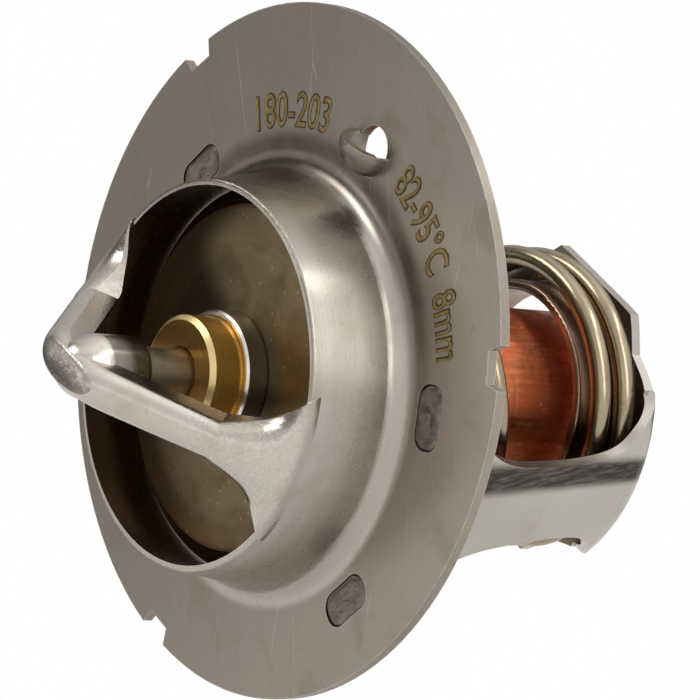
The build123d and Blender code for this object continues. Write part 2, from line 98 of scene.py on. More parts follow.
class StageSettings(bpy.types.PropertyGroup):
    """Camera, lamps and floor."""
    camera_place: bpy.props.FloatVectorProperty(
        name="Camera place", description="Where the camera stands", subtype="TRANSLATION",
        unit="LENGTH", size=3, default=(0.327876, -0.249004, -0.037357))
    camera_turn: bpy.props.FloatVectorProperty(
        name="Camera turn", description="How the camera is turned", subtype="EULER",
        unit="ROTATION", size=3, default=(radians(95.1809), 0.0, radians(51.8435)))
    lens: bpy.props.FloatProperty(
        name="Lens", description="Focal length in millimetres on a 36 mm sensor",
        min=10, max=400, default=231.66)
    floor_height: bpy.props.FloatProperty(
        name="Floor height", description="Height of the floor under the flange's middle",
        unit="LENGTH", default=-0.047)
    lamp_level: bpy.props.FloatProperty(
        name="Lamp level", description="Scales every lamp", min=0, max=4, default=1.0)


SETTINGS = (FinishSettings, MarkSettings, StageSettings)


# ---------------- node helpers

def add_node(tree, kind, inputs=None, **values):
    """Adds a node, sets its properties, and sets or links its inputs by name or number."""
    node = tree.nodes.new(kind)
    for name, value in values.items():
        setattr(node, name, value)
    for key, value in (inputs or {}).items():
        socket = node.inputs[key]
        if isinstance(value, bpy.types.NodeSocket):
            tree.links.new(value, socket)
        else:
            socket.default_value = value
    return node


def math_node(tree, operation, first, second=0.0, third=None):
    inputs = {0: first, 1: second}
    if third is not None:
        inputs[2] = third
    return add_node(tree, "ShaderNodeMath", inputs, operation=operation).outputs[0]


def times(tree, first, *others):
    """Multiplies values one after another."""
    for other in others:
        first = math_node(tree, "MULTIPLY", first, other)
    return first


def sum_of(tree, *terms, base=None):
    """Adds values, each (socket, weight), and then the base."""
    total = 0.0
    for socket, weight in terms:
        total = math_node(tree, "MULTIPLY_ADD", socket, weight, total)
    return total if base is None else math_node(tree, "ADD", total, base)


def vector_math(tree, operation, first, second=None):
    inputs = {0: first} if second is None else {0: first, 1: second}
    node = add_node(tree, "ShaderNodeVectorMath", inputs, operation=operation)
    return node.outputs["Value" if operation in ("DOT_PRODUCT", "LENGTH") else "Vector"]


def split(tree, vector):
    return add_node(tree, "ShaderNodeSeparateXYZ", {0: vector}).outputs[:]


def join(tree, x, y, z=0.0):
    return add_node(tree, "ShaderNodeCombineXYZ", {0: x, 1: y, 2: z}).outputs[0]


def ramp(tree, value, low, high, from_value=0.0, to_value=1.0):
    """Smooth step of a value from low to high."""
    node = add_node(tree, "ShaderNodeMapRange",
                    {"Value": value, "From Min": low, "From Max": high,
                     "To Min": from_value, "To Max": to_value},
                    interpolation_type="SMOOTHSTEP")
    return node.outputs["Result"]


def between(tree, value, start, full, fade, gone):
    """Smooth rise from start to full, and fall from fade to gone."""
    return times(tree, ramp(tree, value, start, full), ramp(tree, value, gone, fade))


def blend(tree, factor, first, second, mode="MIX"):
    """Mixes two colours."""
    node = add_node(tree, "ShaderNodeMix", data_type="RGBA", blend_type=mode)
    for index, value in ((0, factor), (6, first), (7, second)):
        if isinstance(value, bpy.types.NodeSocket):
            tree.links.new(value, node.inputs[index])
        elif index == 0:
            node.inputs[index].default_value = value
        else:
            node.inputs[index].default_value = (*value[:3], 1.0)
    return node.outputs[2]


def noise(tree, vector, scale, detail=4.0, roughness=0.55, distortion=0.0):
    node = add_node(tree, "ShaderNodeTexNoise",
                    {"Vector": vector, "Scale": scale, "Detail": detail,
                     "Roughness": roughness, "Distortion": distortion})
    return node.outputs["Fac"]


# ---------------- shared effects

def shared_group(**defaults):
    """Turns an effect into a node group that is made when it is first used. The effect gets the
    tree, a vector and these inputs, and returns its outputs, which are all floats."""
    def wrap(effect):
        def get():
            name = effect.__name__
            if name in bpy.data.node_groups:
                return bpy.data.node_groups[name]
            tree = bpy.data.node_groups.new(name, "ShaderNodeTree")
            for label, default in {"vector": None, **defaults}.items():
                kind = "NodeSocketFloat" if isinstance(default, float) else "NodeSocketVector"
                socket = tree.interface.new_socket(name=label.capitalize(), in_out="INPUT",
                                                   socket_type=kind)
                if default is not None:
                    socket.default_value = default
            given = tree.nodes.new("NodeGroupInput").outputs[:len(defaults) + 1]
            results = effect(tree, *given)
            for label in results:
                tree.interface.new_socket(name=label, in_out="OUTPUT",
                                          socket_type="NodeSocketFloat")
            add_node(tree, "NodeGroupOutput", results)
            return tree
        return get
    return wrap


def use_group(tree, group, vector, **inputs):
    """Places a shared group at a vector."""
    named = {key.capitalize(): value for key, value in {"vector": vector, **inputs}.items()}
    return add_node(tree, "ShaderNodeGroup", named, node_tree=group()).outputs


@shared_group()
def axis_coordinates(tree, vector):
    """Radius from the valve's axis and height before the flange, in millimetres, the turn about
    the axis from 0 to 1, and how far the surface faces the axis."""
    x, y, z = split(tree, vector_math(tree, "SUBTRACT", vector, VALVE_AXIS))
    flat = join(tree, x, 0.0, z)
    normal = add_node(tree, "ShaderNodeNewGeometry").outputs["Normal"]
    facing = vector_math(tree, "DOT_PRODUCT", vector_math(tree, "NORMALIZE", flat), normal)
    angle = math_node(tree, "ARCTAN2", z, x)
    return {"Radius": times(tree, vector_math(tree, "LENGTH", flat), 1000.0),
            "Turn": math_node(tree, "MULTIPLY_ADD", angle, 0.5 / pi, 0.5),
            "Height": times(tree, y, -1000.0),
            "Inward": times(tree, facing, -1.0)}


@shared_group(fineness=6.0, drift=2.0)
def turned_lines(tree, vector, fineness, drift):
    """Fine rings about the valve's axis, as a lathe or a drawing die leaves them. Noise of
    (radius, height) with almost no change along the turn."""
    place = use_group(tree, axis_coordinates, vector)
    rings = join(tree, place["Radius"], place["Height"], times(tree, place["Turn"], drift))
    return {"Lines": noise(tree, rings, fineness, 3.0),
            "Bands": noise(tree, rings, times(tree, fineness, 0.16), 2.0)}


@shared_group(lean=None, stretch=(1.0, 1.0, 1.0))
def rolled_grain(tree, vector, lean, stretch):
    """Short fine streaks along one direction, as on rolled sheet. Noise squeezed across the
    streaks and stretched along them."""
    turned = add_node(tree, "ShaderNodeMapping", {"Vector": vector, "Rotation": lean}).outputs[0]
    stretched = vector_math(tree, "MULTIPLY", turned, stretch)
    return {"Grain": noise(tree, stretched, 1000.0, 5.0, 0.65),
            "Patches": noise(tree, turned, 140.0, 4.0, 0.6, 0.3)}


@shared_group(size=200.0, low=0.5, high=0.7)
def stains(tree, vector, size, low, high):
    """Soft cloudy patches between two thresholds, and the tide line at their edge."""
    mask = ramp(tree, noise(tree, vector, size, 6.0, 0.6, 0.6), low, high)
    other = math_node(tree, "SUBTRACT", 1.0, mask)
    return {"Stain": mask, "Tide": times(tree, mask, other, 4.0)}


@shared_group(density=300.0, width=0.012)
def scratches(tree, vector, density, width):
    """Sparse thin lines in two directions. Edges of long Voronoi cells, kept where a slow noise
    is high."""
    total = None
    for lean in (0.4, 2.0):
        turned = add_node(tree, "ShaderNodeMapping",
                          {"Vector": vector, "Rotation": (0.3 * lean, lean, 0.2),
                           "Scale": (1.0, 1.0, 0.12)}).outputs[0]
        cells = add_node(tree, "ShaderNodeTexVoronoi",
                         {"Vector": turned, "Scale": density, "Randomness": 1.0},
                         feature="DISTANCE_TO_EDGE").outputs["Distance"]
        rare = ramp(tree, noise(tree, turned, 260.0, 2.0), 0.56, 0.66)
        line = times(tree, math_node(tree, "LESS_THAN", cells, width), rare)
        total = line if total is None else math_node(tree, "MAXIMUM", total, line)
    return {"Scratch": total}


@shared_group(reach=0.0002)
def worn_edges(tree, vector, reach):
    """Mask of the sharp edges, where the rounded normal leaves the true one."""
    bevel = add_node(tree, "ShaderNodeBevel", {"Radius": reach}, samples=2).outputs[0]
    true = add_node(tree, "ShaderNodeNewGeometry").outputs["Normal"]
    sharp = ramp(tree, vector_math(tree, "DOT_PRODUCT", bevel, true), 0.995, 0.85)
    return {"Edge": times(tree, sharp, ramp(tree, noise(tree, vector, 900.0, 3.0), 0.25, 0.6))}


@shared_group(density=1500.0, size=0.22)
def pits(tree, vector, density, size):
    """Tiny round dents, from Voronoi cells whose middle is near."""
    near = add_node(tree, "ShaderNodeTexVoronoi",
                    {"Vector": vector, "Scale": density}).outputs["Distance"]
    return {"Pit": ramp(tree, math_node(tree, "DIVIDE", near, size), 1.0, 0.4)}


# ---------------- materials

def start_material(name, metallic):
    """New material: its tree, its shader, and the object coordinates."""
    material = bpy.data.materials.new(name)
    material.use_nodes = True
    tree = material.node_tree
    shader = tree.nodes["Principled BSDF"]
    shader.inputs["Metallic"].default_value = metallic
    coordinates = add_node(tree, "ShaderNodeTexCoord").outputs["Object"]
    return material, tree, shader, coordinates


def make_material(surface, *settings, name=None, metallic=1.0, strength=0.3,
                  distance=0.02 * MM):
    """New material. Its surface function gives the colour, the roughness and the bump's height."""
    material, tree, shader, where = start_material(name or surface.__name__, metallic)
    colour, rough, height = surface(tree, where, *settings)
    bump = add_node(tree, "ShaderNodeBump",
                    {"Height": height, "Strength": strength, "Distance": distance}).outputs[0]
    for socket, value in (("Base Color", colour), ("Roughness", rough), ("Normal", bump)):
        tree.links.new(value, shader.inputs[socket])
    return material


def shade(colour, level):
    return tuple(channel * level for channel in colour)


def shades(tree, mask, colour, low, high):
    """One colour, from its low to its high level as the mask rises."""
    return blend(tree, mask, shade(colour, low), shade(colour, high))


def coat(tree, colour, tone, *masks):
    """Lays a tone over a colour, as strongly as the product of the masks."""
    return blend(tree, times(tree, *masks), colour, tone)


# Where the finishes change. Radii and heights are in millimetres from the valve's axis and before
# the flange's front, and turns go from 0 to 1 about the axis, from -X on. Two numbers are where a
# mask starts and where it is full; four are its start, its full part and its end.
HAT_FOOT_RADII = (21.4, 20.4)
HAT_INSIDE_RADII = (19.2, 18.4)
# where the painted shade over the hat's top lies
HAT_TOP_TURNS = (0.62, 0.68, 0.80, 0.88)
# where the painted shade round the hat's foot lies
FOOT_SHADE_RADII = (20.7, 21.5, 22.0, 23.6)
FOOT_SHADE_TURNS = (0.40, 0.56, 0.78, 0.90)
BRIDGE_HEIGHTS = (8.6, 9.6)
GRIT_HEIGHTS = (18.5, 15.5)
BOSS = (3.5, 3.3), (18.2, 17.2)                  # radii and heights
TAB_HEIGHTS = (-0.95, -0.8)
# where the painted dark reflection along the leg lies
LEG_DARK_REFLECTION_TURNS = (0.408, 0.418, 0.430, 0.440)
# where the collar inside the spring gets painted brown shade
COLLAR = (11.9, 11.5), (-26.0, -28.0)
# where the painted highlight on the disc's lip starts
LIP_HEIGHTS = (6.9, 7.1)
NECK = (6.7, 6.3), (5.0, 5.3)
# where the painted highlight on the guide's bevel lies
BEVEL = (4.88, 4.96), (10.2, 10.3)
GUIDE_FRONT_HEIGHTS = (10.3, 10.45)
CUP_END_HEIGHTS = (-33.9, -34.3)
# where the painted shade down in the slots lies
SLOT_SHADE_HEIGHTS = (-0.05, -0.16)

# Streaks, directions, and the places in metres where a mask starts and is full along them
FLANGE_GRAIN = {"stretch": (5.0, 1.0, 0.25), "lean": (0.0, 0.25, 0.0)}
# where the painted light on the flange grows, towards one side
LIT_SIDE_DIRECTION, LIT_SIDE_REACH = (0.7, 0.0, -0.7), (-0.020, 0.034)
# the side where the hat's inside wall gets painted shade
SHADED_INSIDE_SIDE = (0.004, -0.004)
# where the painted shade down the dimple's side lies
DIMPLE_SHADED_SIDE = (-0.0036, -0.0016)


def zone(tree, place, radii, heights):
    """Mask of a ring about the valve's axis."""
    return times(tree, ramp(tree, place["Radius"], *radii), ramp(tree, place["Height"], *heights))


def rolled_colour(tree, finish, where, grain):
    """Flange: patches and grain of the rolling, painted light that grows towards one side, bright
    specks.
    """
    colour = shades(tree, grain["Patches"], finish.steel, 0.86, 1.12)
    colour = blend(tree, times(tree, grain["Grain"], 0.5), colour, shade(finish.steel, 0.7),
                   "MULTIPLY")
    colour = blend(tree, 0.5, colour, shade(finish.steel, 1.35))
    # painted light: the flange is lightened towards one side
    across = vector_math(tree, "DOT_PRODUCT", where, LIT_SIDE_DIRECTION)
    lit_side = ramp(tree, across, *LIT_SIDE_REACH, 0.0, 0.5)
    colour = blend(tree, lit_side, colour, shade(finish.steel, 2.1))
    specks = ramp(tree, noise(tree, where, 5200.0, 1.0), 0.70, 0.76)
    return coat(tree, colour, (0.72, 0.68, 0.62), specks, 0.35)


def drawn_colour(tree, finish, place, grain, rings):
    """Hat: bands of the drawing, with painted olive shade over its top."""
    colour = shades(tree, rings["Bands"], finish.drawn_steel, 0.8, 1.15)
    patchy = ramp(tree, grain["Patches"], 0.25, 0.6, 0.5, 1)
    # painted shade: the hat's top is darkened
    return coat(tree, colour, (0.15, 0.12, 0.082), between(tree, place["Turn"], *HAT_TOP_TURNS),
                patchy, 0.85)


def sheet_steel(tree, where, finish):
    """Flange, hat and bridge: rolled sheet, brighter and ringed where it was drawn."""
    place = use_group(tree, axis_coordinates, where)
    drawn = ramp(tree, place["Radius"], *HAT_FOOT_RADII)
    bridge = ramp(tree, place["Height"], *BRIDGE_HEIGHTS)
    grain = use_group(tree, rolled_grain, where, **FLANGE_GRAIN)
    rings = use_group(tree, turned_lines, where, fineness=5.0, drift=3.0)
    stain = use_group(tree, stains, where, size=150.0, low=0.52, high=0.68)
    small = use_group(tree, stains, where, size=700.0, low=0.6, high=0.7)
    scratch = use_group(tree, scratches, where, density=260.0, width=0.006)["Scratch"]
    edge = use_group(tree, worn_edges, where, reach=0.16 * MM)["Edge"]

    colour = blend(tree, drawn, rolled_colour(tree, finish, where, grain),
                   drawn_colour(tree, finish, place, grain, rings))
    colour = blend(tree, bridge, colour, shade(finish.drawn_steel, 1.25))
    grit = times(tree, ramp(tree, noise(tree, where, 3400.0, 2.0), 0.42, 0.62),
                 times(tree, ramp(tree, place["Height"], *GRIT_HEIGHTS), bridge))
    colour = coat(tree, colour, (0.80, 0.76, 0.69), grit, 0.35)
    colour = coat(tree, colour, (0.30, 0.21, 0.13), stain["Stain"], 0.45 * finish.tarnish)
    colour = coat(tree, colour, (0.22, 0.16, 0.10), small["Stain"], 0.35 * finish.tarnish)
    # painted shade: the hat's inside wall, where it faces the axis on the left side, is darkened
    colour = coat(tree, colour, (0.15, 0.092, 0.055), ramp(tree, place["Inward"], 0.1, 0.5),
                  ramp(tree, place["Radius"], *HAT_INSIDE_RADII),
                  ramp(tree, split(tree, where)[0], *SHADED_INSIDE_SIDE), 0.86)
    # painted shade: a dark band round the hat's foot, on one side
    foot_shade = times(tree, between(tree, place["Radius"], *FOOT_SHADE_RADII),
                 between(tree, place["Turn"], *FOOT_SHADE_TURNS),
                 ramp(tree, grain["Patches"], 0.2, 0.7, 0.35, 0.85))
    colour = blend(tree, foot_shade, colour, (0.07, 0.055, 0.042))
    colour = coat(tree, colour, (0.28, 0.21, 0.13), zone(tree, place, *BOSS), bridge)
    colour = coat(tree, colour, (0.88, 0.85, 0.80), edge, 0.75)
    colour = coat(tree, colour, (0.7, 0.67, 0.62), scratch, 0.25)

    rough = sum_of(tree, (grain["Grain"], 0.12), (stain["Stain"], 0.07), (drawn, -0.11),
                   (bridge, -0.08), (rings["Lines"], 0.05), (edge, -0.08), (scratch, -0.05),
                   base=0.31)
    grain_height = times(tree, grain["Grain"], math_node(tree, "MULTIPLY_ADD", drawn, -0.7, 1.0))
    height = sum_of(tree, (grain_height, 0.7), (times(tree, rings["Lines"], drawn), 0.6),
                    (scratch, -0.5), (small["Tide"], 0.2), (grit, 0.8))
    return colour, rough, height


def frame_steel(tree, where, finish):
    """Lower frame: bright sheet with bending marks, a painted dark reflection along the leg, a
    collar darkened brown by painted shade, and dull tabs.
    """
    place = use_group(tree, axis_coordinates, where)
    tabs = ramp(tree, place["Height"], *TAB_HEIGHTS)
    grain = use_group(tree, rolled_grain, where, stretch=(4.0, 0.3, 1.2),
                      lean=(0.0, BRIDGE_TURN, 0.0))
    stain = use_group(tree, stains, where, size=240.0, low=0.55, high=0.72)
    scratch = use_group(tree, scratches, where, density=330.0, width=0.008)["Scratch"]
    edge = use_group(tree, worn_edges, where, reach=0.2 * MM)["Edge"]
    colour = shades(tree, grain["Patches"], finish.frame_steel, 0.85, 1.12)
    colour = coat(tree, colour, (0.42, 0.33, 0.22), stain["Stain"], 0.4 * finish.tarnish)
    colour = coat(tree, colour, (0.85, 0.83, 0.79), edge, 0.4)
    # painted reflection: a dark band along the leg's upper edge
    colour = coat(tree, colour, (0.05, 0.04, 0.035), between(tree, place["Turn"], *LEG_DARK_REFLECTION_TURNS),
                  ramp(tree, grain["Grain"], 0.25, 0.6, 0.75, 1.0))
    # painted shade: the collar inside the spring is darkened brown
    colour = coat(tree, colour, (0.28, 0.15, 0.085), zone(tree, place, *COLLAR), 0.85)
    ends = blend(tree, grain["Grain"], (0.10, 0.075, 0.055), (0.30, 0.25, 0.20))
    colour = blend(tree, tabs, colour, ends)
    rough = sum_of(tree, (grain["Grain"], 0.10), (stain["Stain"], 0.08), (tabs, 0.2),
                   (scratch, 0.08), base=0.19)
    height = sum_of(tree, (grain["Grain"], 0.5), (scratch, -0.6),
                    (times(tree, tabs, grain["Grain"]), 2.0))
    return colour, rough, height


def spring_wire(tree, where, finish):
    """Drawn wire: fine lines along the wire, which the piece's own map follows."""
    mapped = add_node(tree, "ShaderNodeUVMap", uv_map="wire").outputs[0]
    along, around = split(tree, mapped)[:2]
    wire = join(tree, times(tree, along, 0.12), times(tree, around, 6.0))
    lines = noise(tree, wire, 14.0, 4.0, 0.6)
    stain = use_group(tree, stains, where, size=420.0, low=0.5, high=0.7)
    scratch = use_group(tree, scratches, where, density=500.0, width=0.01)["Scratch"]
    colour = shades(tree, lines, finish.spring_steel, 0.75, 1.2)
    colour = coat(tree, colour, (0.26, 0.17, 0.085), stain["Stain"], 0.8 * finish.tarnish)
    rough = sum_of(tree, (lines, 0.12), (stain["Stain"], 0.08), (scratch, 0.1), base=0.14)
    height = sum_of(tree, (lines, 0.8), (scratch, -0.5))
    return colour, rough, height


def disc_steel(tree, where, finish):
    """Pressed disc: olive tint darkened as painted shade, with faint rings, a paler neck and a
    painted highlight on its lip.
    """
    place = use_group(tree, axis_coordinates, where)
    rings = use_group(tree, turned_lines, where, fineness=3.5, drift=2.0)
    stain = use_group(tree, stains, where, size=260.0, low=0.45, high=0.7)
    pit = use_group(tree, pits, where, density=900.0, size=0.16)["Pit"]
    lip = ramp(tree, place["Height"], *LIP_HEIGHTS)
    colour = shades(tree, rings["Bands"], finish.disc_steel, 0.78, 1.3)
    colour = coat(tree, colour, (0.12, 0.078, 0.036), stain["Stain"], 0.8 * finish.tarnish)
    colour = coat(tree, colour, (0.40, 0.37, 0.32), zone(tree, place, *NECK), 0.9)
    # painted highlight: the lip is laid over with a near-white tone
    colour = blend(tree, lip, colour, (0.80, 0.77, 0.72))
    colour = coat(tree, colour, (0.5, 0.44, 0.33), pit, 0.35)
    rough = sum_of(tree, (rings["Lines"], 0.12), (stain["Stain"], 0.1), (lip, -0.1), base=0.27)
    height = sum_of(tree, (rings["Lines"], 0.8), (pit, -0.8), (stain["Tide"], 0.15))
    return colour, rough, height


def turned_brass(tree, where, finish):
    """Guide: turned rings, a pale bevel that is a painted highlight, and brown films of use."""
    place = use_group(tree, axis_coordinates, where)
    rings = use_group(tree, turned_lines, where, fineness=9.0, drift=1.0)
    stain = use_group(tree, stains, where, size=330.0, low=0.45, high=0.7)
    scratch = use_group(tree, scratches, where, density=700.0, width=0.012)["Scratch"]
    front = ramp(tree, place["Height"], *GUIDE_FRONT_HEIGHTS)
    colour = shades(tree, rings["Bands"], finish.brass, 0.8, 1.18)
    colour = coat(tree, colour, (0.36, 0.17, 0.03), stain["Stain"], 0.9 * finish.tarnish)
    colour = coat(tree, colour, (0.17, 0.085, 0.022), front, 0.8)
    # painted highlight: the bevel is laid over with a pale brass tone
    colour = coat(tree, colour, (0.86, 0.66, 0.30), zone(tree, place, *BEVEL))
    colour = coat(tree, colour, (0.85, 0.65, 0.3), scratch, 0.4)
    rough = sum_of(tree, (rings["Lines"], 0.12), (stain["Stain"], 0.08), (front, 0.05), base=0.17)
    height = sum_of(tree, (rings["Lines"], 1.0), (scratch, -0.5))
    return colour, rough, height


def drawn_copper(tree, where, finish):
    """Cup: mottled by heat, with draw lines along its wall and rings on its end."""
    place = use_group(tree, axis_coordinates, where)
    along = join(tree, times(tree, place["Turn"], 160.0), times(tree, place["Height"], 0.12))
    rings = use_group(tree, turned_lines, where, fineness=3.0, drift=8.0)["Lines"]
    end = ramp(tree, place["Height"], *CUP_END_HEIGHTS)
    streaks = add_node(tree, "ShaderNodeMix",
                       {0: end, 2: noise(tree, along, 1.0, 4.0, 0.6), 3: rings}).outputs[0]
    mottle = use_group(tree, stains, where, size=360.0, low=0.42, high=0.56)
    dark = use_group(tree, stains, where, size=520.0, low=0.55, high=0.7)
    scratch = use_group(tree, scratches, where, density=420.0, width=0.012)["Scratch"]
    edge = use_group(tree, worn_edges, where, reach=0.25 * MM)["Edge"]
    pit = use_group(tree, pits, where, density=700.0, size=0.2)["Pit"]
    colour = shades(tree, ramp(tree, streaks, 0.3, 0.7), finish.copper, 0.78, 1.3)
    colour = coat(tree, colour, (0.45, 0.085, 0.03), mottle["Stain"], 0.6)
    colour = coat(tree, colour, (0.085, 0.025, 0.014), dark["Stain"], finish.tarnish)
    colour = coat(tree, colour, (0.85, 0.45, 0.25), pit, 0.5)
    colour = coat(tree, colour, (0.85, 0.48, 0.32), edge, 0.4)
    colour = coat(tree, colour, (0.8, 0.42, 0.28), scratch, 0.3)
    rough = sum_of(tree, (streaks, 0.12), (mottle["Stain"], 0.1), (dark["Stain"], 0.12), base=0.24)
    height = sum_of(tree, (streaks, 0.8), (pit, -0.7), (dark["Tide"], 0.3), (scratch, -0.5))
    return colour, rough, height


def ground_pin(tree, where, finish):
    """Pin: dull ground steel with fine rings and a brown film."""
    rings = use_group(tree, turned_lines, where, fineness=11.0, drift=4.0)
    stain = use_group(tree, stains, where, size=500.0, low=0.4, high=0.7)
    pit = use_group(tree, pits, where, density=1300.0, size=0.18)["Pit"]
    colour = blend(tree, rings["Lines"], (0.30, 0.245, 0.165), (0.47, 0.40, 0.29))
    colour = coat(tree, colour, (0.26, 0.19, 0.11), stain["Stain"], 0.8 * finish.tarnish)
    colour = coat(tree, colour, (0.10, 0.075, 0.05), pit, 0.5)
    rough = sum_of(tree, (rings["Lines"], 0.12), (stain["Stain"], 0.1), base=0.30)
    height = sum_of(tree, (rings["Lines"], 0.9), (pit, -0.8))
    return colour, rough, height


def moulded(tree, where, dark, light, rough_low, grain_size):
    """Rubber, wax and washer: plain moulded stuff with cloudy colour and a fine grain."""
    cloud = use_group(tree, stains, where, size=300.0, low=0.3, high=0.7)["Stain"]
    pit = use_group(tree, pits, where, density=grain_size, size=0.3)["Pit"]
    rough = math_node(tree, "MULTIPLY_ADD", cloud, 0.15, rough_low)
    return blend(tree, cloud, dark, light), rough, pit


def etched(tree, where, dark, light):
    """Film of heat tint that the etching leaves."""
    cloud = use_group(tree, stains, where, size=900.0, low=0.35, high=0.65)["Stain"]
    grain = use_group(tree, rolled_grain, where, **FLANGE_GRAIN)["Grain"]
    rough = math_node(tree, "MULTIPLY_ADD", grain, 0.2, 0.35)
    return blend(tree, cloud, dark, light), rough, grain


def granular_floor(tree, where, finish):
    """Dimple: grainy where the punch pressed, with painted shade down its outer side."""
    cloud = use_group(tree, stains, where, size=1500.0, low=0.35, high=0.6)["Stain"]
    pit = use_group(tree, pits, where, density=4200.0, size=0.4)["Pit"]
    x, _, z = split(tree, where)
    side = math_node(tree, "MULTIPLY_ADD", x, 0.6, times(tree, z, 0.8))
    outer = ramp(tree, side, *DIMPLE_SHADED_SIDE, 1.0, 0.0)
    colour = shades(tree, cloud, finish.drawn_steel, 1.45, 1.05)
    # painted shade: the hollow darkens down its outer side
    colour = coat(tree, colour, (0.08, 0.068, 0.07), outer, 0.75)
    colour = coat(tree, colour, (0.20, 0.18, 0.16), pit, 0.35)
    rough = math_node(tree, "MULTIPLY_ADD", cloud, 0.15, 0.28)
    return colour, rough, pit


def staked_steel(tree, where, finish):
    """Hammered ends of the tabs: dull and cloudy, with painted shade down in the slot."""
    cloud = use_group(tree, stains, where, size=700.0, low=0.35, high=0.65)["Stain"]
    pit = use_group(tree, pits, where, density=1600.0, size=0.3)["Pit"]
    place = use_group(tree, axis_coordinates, where)
    colour = shades(tree, cloud, finish.steel, 0.55, 1.05)
    # painted shade: the tab's end darkens down in the slot
    colour = coat(tree, colour, (0.035, 0.026, 0.018), ramp(tree, place["Height"], *SLOT_SHADE_HEIGHTS))
    rough = math_node(tree, "MULTIPLY_ADD", cloud, 0.2, 0.3)
    return colour, rough, pit


def dress(node, material):
    """Gives a CAD node its finish."""
    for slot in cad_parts[node].material_slots:
        slot.material = material


# ---------------- meshes

def from_local(points):
    """Turns local points (along the bridge, across it, height before the flange), given in
    millimetres from the valve's axis, into the frame in metres."""
    along, across, height = points[..., 0], points[..., 1], points[..., 2]
    x = along * cos(BRIDGE_TURN) + across * sin(BRIDGE_TURN)
    z = -along * sin(BRIDGE_TURN) + across * cos(BRIDGE_TURN)
    return np.stack([x, -height, z], axis=-1) * MM + np.array(VALVE_AXIS)


def grid_mesh(name, grid, uv_name, uv_scale):
    """Closed tube from a grid of points, rows along it and columns around it, with end caps."""
    rows, columns = grid.shape[:2]
    index = np.arange(rows * columns).reshape(rows, columns)
    after = np.roll(index, -1, axis=1)
    quads = np.stack([index[:-1], after[:-1], after[1:], index[1:]], axis=-1).reshape(-1, 4)
    caps = [index[0][::-1].tolist(), index[-1].tolist()]
    mesh = bpy.data.meshes.new(name)
    mesh.from_pydata(grid.reshape(-1, 3).tolist(), [], quads.tolist() + caps)
    row = np.broadcast_to(np.arange(rows - 1)[:, None], (rows - 1, columns)).reshape(-1)
    column = np.broadcast_to(np.arange(columns)[None, :], (rows - 1, columns)).reshape(-1)
    u = np.stack([row, row, row + 1, row + 1], axis=-1) * uv_scale
    v = np.stack([column, column + 1, column + 1, column], axis=-1) / columns
    cap = np.tile([[0.0, 0.5]], (2 * columns, 1))
    uv = np.concatenate([np.stack([u, v], axis=-1).reshape(-1, 2), cap])
    mesh.uv_layers.new(name=uv_name).data.foreach_set("uv", uv.reshape(-1))
    smooth = np.ones(len(mesh.polygons), dtype=bool)
    smooth[-2:] = False
    mesh.polygons.foreach_set("use_smooth", smooth)
    mesh.update()
    return mesh


# The spring's wire, in millimetres and turns: its middle starts and ends at these heights, lies
# flat for the seat's turns, climbs close and then open ones, and closes under the disc
SPRING_LOW, SPRING_HIGH, SPRING_TURNS = -31.59, 2.21, 4.5
SEAT_TURNS, CLOSE_TURNS, OPEN_TURNS, CLOSE_PITCH = 0.45, 1.35, 1.75, 2.9
TOP_RISE, TOP_RISE_TURNS = 1.33, 0.45
COIL_RADIUS, WIRE_RADIUS, FIRST_ANGLE = 13.4, 0.98, radians(-164.0)
EASE_SHARE = 0.25                                # how much the open coils ease in and out
STEPS_A_TURN, STEPS_AROUND, SMOOTHING_STEPS = 80, 24, 13


def spring_rise(turns):
    """Height of the wire's middle after some turns from the base, in millimetres."""
    share = np.clip((turns - SEAT_TURNS - CLOSE_TURNS) / OPEN_TURNS, 0, 1)
    ease = (1 - EASE_SHARE) * share + EASE_SHARE * share * share * (3 - 2 * share)
    open_low = SPRING_LOW + CLOSE_TURNS * CLOSE_PITCH
    open_high = SPRING_HIGH - TOP_RISE
    rise = SPRING_LOW + np.clip(turns - SEAT_TURNS, 0, CLOSE_TURNS) * CLOSE_PITCH
    rise = rise + ease * (open_high - open_low)
    closing = (turns - SEAT_TURNS - CLOSE_TURNS - OPEN_TURNS) / TOP_RISE_TURNS
    return rise + np.clip(closing, 0, 1) * TOP_RISE


def spring_grid():
    """Tube around a coil: the middle line is (R cos a, R sin a, rise), and the section is a
    circle in the plane of the outward and the across direction of the line."""
    steps = round(SPRING_TURNS * STEPS_A_TURN)
    turn = np.linspace(0, SPRING_TURNS, steps)
    angle = FIRST_ANGLE + 2 * pi * turn
    kernel = np.hanning(SMOOTHING_STEPS)
    padded = np.pad(spring_rise(turn), SMOOTHING_STEPS // 2, mode="edge")
    height = np.convolve(padded, kernel / kernel.sum(), mode="valid")
    line = np.stack([COIL_RADIUS * np.cos(angle), COIL_RADIUS * np.sin(angle), height], axis=-1)
    ahead = np.gradient(line, axis=0)
    ahead /= np.linalg.norm(ahead, axis=1, keepdims=True)
    outward = np.stack([np.cos(angle), np.sin(angle), np.zeros(steps)], axis=-1)
    across = np.cross(ahead, outward)
    around_angle = np.linspace(0, 2 * pi, STEPS_AROUND, endpoint=False)
    ring = (np.cos(around_angle)[None, :, None] * outward[:, None, :]
            + np.sin(around_angle)[None, :, None] * across[:, None, :])
    return from_local(line[:, None, :] + WIRE_RADIUS * ring)


CUSHION_RINGS = 22
CUSHION_CREASE = radians(45)


